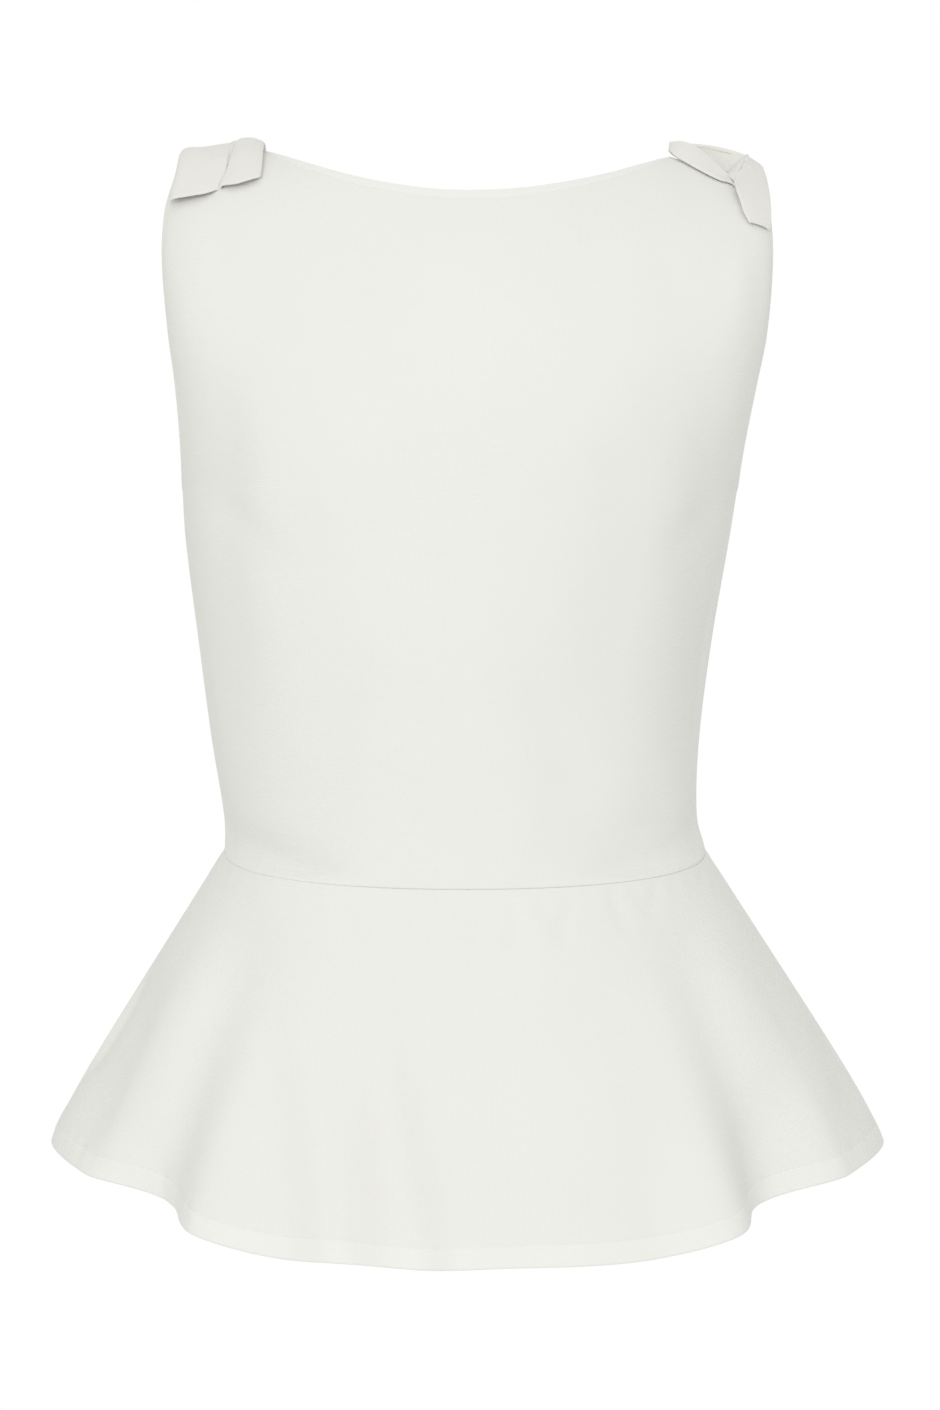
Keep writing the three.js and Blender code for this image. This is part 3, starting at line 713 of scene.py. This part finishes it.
def peplum_angles():
    """Even columns, with a few more close to the side seams."""
    plain = np.linspace(-90, 90, PEPLUM_COLUMNS + 1)
    close = 90 - np.array([0.1, 0.22, 0.4])
    return np.sort(np.concatenate([plain, close, -close]))


def peplum_cloth(name, side, folds, creases, pucker_zones, seed):
    angles = peplum_angles()
    surface = lambda a, r: peplum_surface(side, a, r, folds)
    rows = measured_rows(surface, angles, 0, 1, SEAM_STEPS, HEM_STEPS, PEPLUM_ROW_STEP)
    base = surface(angles[None, :], rows)
    normal = normals_of(surface, angles, rows, np.array([0, side["way"], 0.0]))
    from_seam = lengths(base, 0)
    from_hem = from_seam[-1] - from_seam
    from_left = lengths(base, 1)
    from_side = np.minimum(from_left, from_left[:, -1:] - from_left)
    u = from_left - from_left[:, len(angles) // 2][:, None]
    x, z = base[..., 0], base[..., 2]
    sewn = np.minimum(from_seam, from_side)
    settled = smoothstep(from_seam, 2, 30) * smoothstep(from_side, 0, 10)
    inward = press_creases(x, z, creases)
    inward = inward * smoothstep(from_seam, 0, 5) * smoothstep(from_side, 0, 8)
    inward -= PEPLUM_SWELL * settled * uneven(u, z, PEPLUM_SWELL_LENGTH, seed)
    gathered = np.exp(-((from_seam - 5) / 9) ** 2) * smoothstep(from_seam, 0.4, 4)
    inward -= PEPLUM_PUCKER * gathered * uneven(u, 0 * u, PEPLUM_PUCKER_LENGTH, seed + 2)
    hem_u = u[-1][None, :] + 0 * u
    strength = 0.35 + sum(
        a * np.exp(-(((hem_u - at) / wide) ** 2)) for at, wide, a in pucker_zones)
    band = np.exp(-(((from_hem - HEM_TURN) / 5.5) ** 2)) + 0.5 * np.exp(-((from_hem / 7) ** 2))
    puckers = uneven(hem_u, from_hem * 0.35, HEM_PUCKER_LENGTH, seed + 3)
    inward += HEM_PUCKER * strength * band * puckers
    inward += seam_dip(x, sewn)
    inward += HEM_DENT * np.exp(-(((from_hem - HEM_TURN) / 0.7) ** 2))
    inward -= HEM_RISE * (1 - smoothstep(from_hem, HEM_TURN - 1.0, HEM_TURN + 0.4))
    thick = CLOTH + HEM_THICKER * (1 - smoothstep(from_hem, HEM_TURN, HEM_TURN + 0.6))
    half = free_edge(from_hem, thick)
    middle = base - normal * (inward + thick / 2)[..., None]
    outer, inner = middle + normal * half[..., None], middle - normal * half[..., None]
    doubled = 1 - smoothstep(from_hem, HEM_TURN - 0.5, HEM_TURN + 0.5)
    piece = shell_mesh(name, outer, inner, np.stack([u, from_seam], -1), doubled)
    print("rows and columns", rows.shape, "waist", round(from_left[0, -1]), "hem",
          round(from_left[-1, -1]), "longest", round(from_seam[-1].max()), "mm")
    return piece, [(outer + normal * THREAD_LIFT)[len(rows) - 1 - HEM_TURN_STEP]]


# Where the hem puckers most: place along it from the middle, spread, strength
FRONT_PUCKERS = [(-250, 60, 0.8), (-60, 22, 1.1), (-190, 40, 0.6), (230, 50, 0.3)]
BACK_PUCKERS = [(-180, 60, 0.6), (40, 40, 0.8), (220, 50, 0.6)]
peplum_front, front_hem_lines = peplum_cloth(
    "peplum_front_cloth", FRONT, FRONT_FOLDS, FRONT_PEPLUM_CREASES, FRONT_PUCKERS, 37)
finish_piece(peplum_front, "peplum_front", ivory_crepe)
peplum_back, back_hem_lines = peplum_cloth(
    "peplum_back_cloth", BACK, BACK_FOLDS, BACK_PEPLUM_CREASES, BACK_PUCKERS, 51)
finish_piece(peplum_back, "peplum_back", ivory_crepe)

# %% [markdown]
# ## The strap as a map for the bows
# A bow lies on a shoulder strap, so it is drawn on a flat map of the strap: how far in from the
# strap's neck end, how far down the front from the shoulder seam, and how high above the cloth.
# The map is measured once along the strap, and then any point of a bow is read from it.

# %% Strap map
STRAP_WIDTH = SHOULDER_HALF - NECK_HALF
MAP_IN = np.linspace(0, STRAP_WIDTH, 50)
MAP_STEP = 0.5
MAP_DOWN = np.arange(-30.0, 75.1, MAP_STEP)


def strap_map(hand):
    """Points of the strap, and the way out of it, at each place of MAP_IN and MAP_DOWN."""
    angles = hand * angle_across((NECK_HALF + MAP_IN) / SHOULDER_HALF, TOP_SQUARE)
    dense = np.linspace(2, 1.1, 2600)
    points = np.empty((len(MAP_DOWN), len(MAP_IN), 3))
    for side, chosen in ((FRONT, MAP_DOWN >= 0), (BACK, MAP_DOWN < 0)):
        walk = bodice_surface(side, angles[None, :], dense[:, None])
        walked = lengths(walk, 0)
        for j in range(len(MAP_IN)):
            for axis in range(3):
                points[chosen, j, axis] = np.interp(
                    np.abs(MAP_DOWN[chosen]), walked[:, j], walk[:, j, axis])
    middle = points[:, len(MAP_IN) // 2]
    down = np.gradient(middle, axis=0)
    sideways = np.gradient(points, axis=1)[:, len(MAP_IN) // 2]
    out = np.cross(sideways, down)
    out /= np.linalg.norm(out, axis=1, keepdims=True)
    out *= np.sign(out[len(out) // 2, 2])
    soft = np.exp(-((np.arange(-12, 13) / 6.0) ** 2))
    padded = np.pad(out, ((12, 12), (0, 0)), mode="edge")
    out = np.stack([np.convolve(padded[:, k], soft / soft.sum(), "valid") for k in range(3)], 1)
    return points, out / np.linalg.norm(out, axis=1, keepdims=True)


def over_strap(hand, mapped, place):
    """Real points for places given as in, down and up over a strap."""
    points, out = mapped
    kept = np.clip(place[..., 0], 0, STRAP_WIDTH)
    beyond = place[..., 0] - kept
    fi = kept / (MAP_IN[1] - MAP_IN[0])
    fj = (np.clip(place[..., 1], MAP_DOWN[0], MAP_DOWN[-1]) - MAP_DOWN[0]) / MAP_STEP
    i = np.clip(fi.astype(int), 0, len(MAP_IN) - 2)
    j = np.clip(fj.astype(int), 0, len(MAP_DOWN) - 2)
    si, sj = (fi - i)[..., None], (fj - j)[..., None]
    near = points[j, i] * (1 - si) + points[j, i + 1] * si
    far = points[j + 1, i] * (1 - si) + points[j + 1, i + 1] * si
    foot = near * (1 - sj) + far * sj
    foot[..., 0] += hand * beyond
    foot[..., 2] += (ARM_END_Z - NECK_END_Z) / STRAP_WIDTH * beyond
    return foot + (out[j] * (1 - sj) + out[j + 1] * sj) * place[..., 2:3]


print("the map of a strap has", len(MAP_IN), "by", len(MAP_DOWN), "places")

# %% [markdown]
# ## The bows
# Each bow is one band of doubled cloth, sewn to a ring and pinched once, so that it makes a
# large outer loop and a small inner one. Its two edges are drawn as closed smooth curves through
# a few named places, and the band is stretched between them. Small folds run out from the pinch
# and die away, as cloth does where it is drawn together. Lines pressed into the band show where
# its loops meet.

# %% Places of the bows: front edge in, down, up, then back edge in, down, up
LEFT_BOW = [
    (20, 54, 2.7, 14.5, -11, 10.9),       # pinch, upper
    (26.5, 57, 4.3, 21, -12, 11.2),       # outer, rising
    (35.5, 55, 4.7, 31, -13, 12.2),       # outer, upper
    (43.5, 51.5, 4.7, 40.5, -14, 14),     # outer, turning
    (45.2, 49.5, 3.2, 44, -14, 9.5),      # outer end
    (43, 47.5, 1.5, 40.5, -14, 1.7),      # outer, under
    (33, 49, 1.4, 29, -13, 1.4),          # outer, lower
    (20, 50, 1.4, 14.5, -11, 1.4),        # pinch, lower
    (10.5, 53, 1.4, 9.5, -12, 1.4),       # inner, lower
    (2.5, 54.5, 1.5, 3.5, -13, 1.7),      # inner, under
    (-1.2, 56.5, 2.5, -1.1, -13, 4.6),    # inner end
    (2, 58, 3.8, 2.6, -13, 8.7),          # inner, turning
    (10.5, 58, 3.8, 9.5, -12, 11.6),      # inner, upper
]
RIGHT_BOW = [
    (31.2, 36.5, 3.1, 39.5, 4, 11.6),     # pinch, upper
    (30.8, 39.5, 3.5, 46, -1, 10),        # outer, rising
    (30.5, 44.5, 3.6, 49, 14, 6.2),       # outer, over the edge
    (31.2, 52.5, 3.6, 48.4, 33, 4.2),     # outer, upper
    (32.6, 61.5, 3, 47.2, 54, 3.3),       # outer, turning
    (35, 66, 2.2, 46.6, 61, 2.4),         # outer end
    (33.5, 59, 1.4, 46, 50, 1.5),         # outer, under
    (32.5, 46, 1.4, 46.4, 26, 1.5),       # outer, lower
    (30.8, 35, 1.4, 40.5, 2, 1.5),        # pinch, lower
    (23.5, 35.5, 1.5, 29, 26, 2.4),       # inner, leaving
    (13, 30, 1.5, 17, 13.5, 7),           # inner, near
    (6, 23.5, 1.6, 9.5, 9, 9.8),          # inner, near top
    (1, 18, 2, 3.5, 6.5, 10.2),           # inner, near end
    (-2, 9, 3, -2.6, 2, 8),               # inner end
    (1.5, -5, 2, 4, -6, 11),              # inner, far end
    (12, -10, 1.7, 17, -8, 14.5),         # inner, far
    (24, -9, 2.4, 30, -8, 15.5),          # inner, returning
    (31.5, -5, 1.7, 38.5, -6, 14.3),      # inner, far corner
    (30, 27, 2.0, 39.5, -1, 13.2),        # inner, side
]
BAND = 1.3
EDGE_ROLL = 0.1
BAND_ROWS, BAND_COLUMNS = 12, 40
BOW_FOLD, BOW_WAVE = 0.55, 0.25


def closed_curve(places, steps):
    """A smooth closed curve through places, with steps points from each place to the next."""
    p = np.asarray(places, float)
    p0, p1, p2, p3 = np.roll(p, 1, 0), p, np.roll(p, -1, 0), np.roll(p, -2, 0)
    root = lambda a, b: np.linalg.norm(a - b, axis=1, keepdims=True) ** 0.5
    d0, d1, d2 = root(p0, p1), root(p1, p2), root(p2, p3)
    t1 = d1 * ((p1 - p0) / d0 - (p2 - p0) / (d0 + d1) + (p2 - p1) / d1)
    t2 = d1 * ((p2 - p1) / d1 - (p3 - p1) / (d1 + d2) + (p3 - p2) / d2)
    s = (np.arange(steps) / steps)[None, :, None]
    a, b, c, d = p1[:, None], p2[:, None], t1[:, None], t2[:, None]
    curve = (2 * s**3 - 3 * s**2 + 1) * a + (s**3 - 2 * s**2 + s) * c
    curve = curve + (3 * s**2 - 2 * s**3) * b + (s**3 - s**2) * d
    return curve.reshape(-1, 3)


def bow_cloth(name, hand, places, pressed, seed):
    table = np.asarray(places, float)
    front = closed_curve(table[:, :3], BAND_ROWS)
    back = closed_curve(table[:, 3:], BAND_ROWS)
    close = np.array([0, 0.003, 0.008, 0.016, 0.03])
    shares = np.concatenate([close, np.linspace(0.05, 0.95, BAND_COLUMNS - 9), 1 - close[::-1]])
    place = front[:, None] * (1 - shares[None, :, None]) + back[:, None] * shares[None, :, None]
    ring = np.arange(len(front)) / BAND_ROWS
    count = len(places)
    away = np.abs((ring + count / 2) % count - count / 2)
    wrinkle = BOW_FOLD * np.exp(-((away[:, None] / 1.3) ** 2)) * uneven(
        shares[None, :] * 50, ring[:, None] * 6, 16, seed)
    wrinkle = wrinkle + BOW_WAVE * uneven(shares[None, :] * 50, ring[:, None] * 10, 34, seed + 1)
    lift = smoothstep(place[..., 2], 1.5, 3.0)
    place[..., 2] += wrinkle * lift
    for front_row, back_row, share, before, after, reach, depth in pressed:
        off = (ring[:, None] - mix(front_row, back_row, shares) + count / 2) % count - count / 2
        profile = np.exp(-((off / np.where(off < 0, before, after)) ** 2))
        place[..., 2] -= depth * lift * profile * np.exp(-(((shares - share) / reach) ** 2))
    middle = over_strap(hand, strap_map(hand), place)
    ring_points = np.concatenate([middle[-2:], middle, middle[:2]])
    along = np.gradient(ring_points, axis=0)[2:-2]
    wide = np.gradient(middle, axis=1)
    normal = np.cross(along, wide)
    normal /= np.linalg.norm(normal, axis=-1, keepdims=True)
    walked = lengths(middle, 1)
    edge = np.minimum(walked, walked[:, -1:] - walked)
    half = free_edge(edge, BAND) + EDGE_ROLL * np.exp(-(((edge - 1.1) / 0.7) ** 2))
    outer, inner = middle + normal * half[..., None], middle - normal * half[..., None]
    line = middle.mean(1)
    v = np.cumsum(np.linalg.norm(np.diff(line, axis=0, prepend=line[:1]), axis=1))
    uv = np.stack([walked, np.broadcast_to(v[:, None], walked.shape)], -1)
    piece = shell_mesh(name, outer, inner, uv, 0.3 - 0.3 * smoothstep(edge, 0.8, 2.4), ring=True)
    print("band", round(walked[:, -1].mean()), "mm wide and", round(v[-1]), "mm round")
    return piece


# Pressed lines: place along the band at its front and back edge, share of the band where it is
# deepest, reach before and after the line, reach across the band, depth
LEFT_PRESSED = [
    (0.05, -0.75, 0.3, 0.1, 1.3, 0.55, 1.3),
    (0.1, -0.7, 0.35, 0.09, 0.13, 0.6, 1.1),
    (0.6, 0.9, 0.2, 0.5, 0.7, 0.3, 0.7),
]
RIGHT_PRESSED = [
    (16.2, 16.2, 0.9, 1.5, 1.5, 0.035, 1.3),
]
bow_left = bow_cloth("bow_left_cloth", -1, LEFT_BOW, LEFT_PRESSED, 61)
finish_piece(bow_left, "bow_left", bow_crepe_shaded)
bow_right = bow_cloth("bow_right_cloth", 1, RIGHT_BOW, RIGHT_PRESSED, 73)
finish_piece(bow_right, "bow_right", bow_crepe_shaded)

# %% [markdown]
# ## Stitching
# One line of stitches holds the turned edge of the neckline and the armholes, and another the hem.
# Each stitch is a short bead of thread. Hundreds alike are best made by Geometry Nodes: a line
# along the cloth becomes a curve, points are set on it at the stitch length, and a bead is put on
# each point, turned to the line. Copying them by hand would take long and drift off the line.

# %% Stitch maker
STITCH_PITCH, STITCH_LENGTH, THREAD = 0.0027, 0.0021, 0.00028


def stitch_group():
    """A node group that turns lines into rows of stitches."""
    group = bpy.data.node_groups.new("rows_of_stitches", "GeometryNodeTree")
    face = group.interface
    face.new_socket("Geometry", in_out="OUTPUT", socket_type="NodeSocketGeometry")
    face.new_socket("Geometry", in_out="INPUT", socket_type="NodeSocketGeometry")
    for title, kind in (("Pitch", "Float"), ("Length", "Float"), ("Thread", "Float"),
                        ("Seed", "Int"), ("Thread material", "Material")):
        face.new_socket(title, in_out="INPUT", socket_type="NodeSocket" + kind)
    nodes, links = group.nodes, group.links
    given, made = nodes.new("NodeGroupInput"), nodes.new("NodeGroupOutput")
    line = nodes.new("GeometryNodeMeshToCurve")
    points = nodes.new("GeometryNodeResampleCurve")
    points.mode = "LENGTH"
    bead = nodes.new("GeometryNodeMeshUVSphere")
    set_inputs(bead, {"Segments": 6, "Rings": 5, "Radius": 0.5})
    tangent = nodes.new("GeometryNodeInputTangent")
    turn = nodes.new("FunctionNodeAlignRotationToVector")
    turn.axis = "X"
    vary = nodes.new("FunctionNodeRandomValue")
    vary.inputs[2].default_value = 0.9
    vary.inputs[3].default_value = 1.08
    long = nodes.new("ShaderNodeMath")
    long.operation = "MULTIPLY"
    size = nodes.new("ShaderNodeCombineXYZ")
    place = nodes.new("GeometryNodeInstanceOnPoints")
    real = nodes.new("GeometryNodeRealizeInstances")
    dress = nodes.new("GeometryNodeSetMaterial")
    for a, b in (
        (given.outputs["Geometry"], line.inputs["Mesh"]),
        (line.outputs["Curve"], points.inputs["Curve"]),
        (given.outputs["Pitch"], points.inputs["Length"]),
        (given.outputs["Seed"], vary.inputs["Seed"]),
        (given.outputs["Length"], long.inputs[0]),
        (vary.outputs[1], long.inputs[1]),
        (long.outputs["Value"], size.inputs["X"]),
        (given.outputs["Thread"], size.inputs["Y"]),
        (given.outputs["Thread"], size.inputs["Z"]),
        (tangent.outputs["Tangent"], turn.inputs["Vector"]),
        (points.outputs["Curve"], place.inputs["Points"]),
        (bead.outputs["Mesh"], place.inputs["Instance"]),
        (turn.outputs["Rotation"], place.inputs["Rotation"]),
        (size.outputs["Vector"], place.inputs["Scale"]),
        (place.outputs["Instances"], real.inputs["Geometry"]),
        (real.outputs["Geometry"], dress.inputs["Geometry"]),
        (given.outputs["Thread material"], dress.inputs["Material"]),
        (dress.outputs["Geometry"], made.inputs["Geometry"]),
    ):
        links.new(a, b)
    return group


STITCHES = stitch_group()
thread_material = bpy.data.materials.new("ivory_thread")
thread_material.use_nodes = True
thread_shader = thread_material.node_tree.nodes["Principled BSDF"]
set_inputs(thread_shader, {"Base Color": (0.84, 0.84, 0.80, 1), "Roughness": 0.6,
                           "Sheen Weight": 0.1})
print("stitch group with", len(STITCHES.nodes), "nodes")

# %% Rows of stitches


def sew(name, lines, seed):
    """A plain mesh of stitches along lines given in millimetres."""
    points = np.concatenate(lines) * MM
    starts = np.cumsum([0] + [len(line) for line in lines])
    edges = [(i, i + 1) for a, b in zip(starts, starts[1:]) for i in range(a, b - 1)]
    mesh = bpy.data.meshes.new(name)
    mesh.from_pydata(points.tolist(), edges, [])
    rows = bpy.data.objects.new(name, mesh)
    scene.collection.objects.link(rows)
    sewing = rows.modifiers.new("sewing", "NODES")
    sewing.node_group = STITCHES
    values = {"Pitch": STITCH_PITCH, "Length": STITCH_LENGTH, "Thread": THREAD, "Seed": seed,
              "Thread material": thread_material}
    for item in STITCHES.interface.items_tree:
        if item.in_out == "INPUT" and item.name in values:
            sewing[item.identifier] = values[item.name]
    evaluated = rows.evaluated_get(bpy.context.evaluated_depsgraph_get())
    plain = bpy.data.meshes.new_from_object(evaluated)
    rows.modifiers.clear()
    rows.data = plain
    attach(rows, "root")
    report_piece(rows)
    return rows


front_neck_stitches = sew("bodice_front_stitches", front_lines, 5)
back_neck_stitches = sew("bodice_back_stitches", back_lines, 6)
front_hem_stitches = sew("peplum_front_stitches", front_hem_lines, 7)
back_hem_stitches = sew("peplum_back_stitches", back_hem_lines, 8)

# %% [markdown]
# ## Floor
# The wearer holds the top up, so nothing stands under it. A plain pale floor far below, where a
# wearer's feet would be, gives the other views a ground without touching the cloth. Its rim
# fades away, so no line cuts across the white behind the top.

# %% Floor
FLOOR_Z = -1.42
FLOOR_RADIUS = 3.3
floor_mesh = bpy.data.meshes.new("floor")
turns = np.linspace(0, 2 * np.pi, 97)[:-1]
ring = [(FLOOR_RADIUS * math.cos(t), FLOOR_RADIUS * math.sin(t), FLOOR_Z) for t in turns]
floor_mesh.from_pydata(ring, [], [list(range(len(ring)))])
floor = bpy.data.objects.new("floor", floor_mesh)
scene.collection.objects.link(floor)
pale = bpy.data.materials.new("pale_floor")
pale.use_nodes = True
nodes, links = pale.node_tree.nodes, pale.node_tree.links
shader = nodes["Principled BSDF"]
set_inputs(shader, {"Base Color": (0.93, 0.93, 0.925, 1), "Roughness": 0.9})
place = nodes.new("ShaderNodeTexCoord")
flat = nodes.new("ShaderNodeVectorMath")
flat.operation = "MULTIPLY"
flat.inputs[1].default_value = (1, 1, 0)
links.new(place.outputs["Object"], flat.inputs[0])
radius = nodes.new("ShaderNodeVectorMath")
radius.operation = "LENGTH"
links.new(flat.outputs["Vector"], radius.inputs[0])
fade = nodes.new("ShaderNodeMapRange")
fade.interpolation_type = "SMOOTHSTEP"
set_inputs(fade, {"From Min": FLOOR_RADIUS, "From Max": FLOOR_RADIUS * 0.35})
links.new(radius.outputs["Value"], fade.inputs["Value"])
links.new(fade.outputs["Result"], shader.inputs["Alpha"])
floor_mesh.materials.append(pale)
print("floor at", FLOOR_Z)
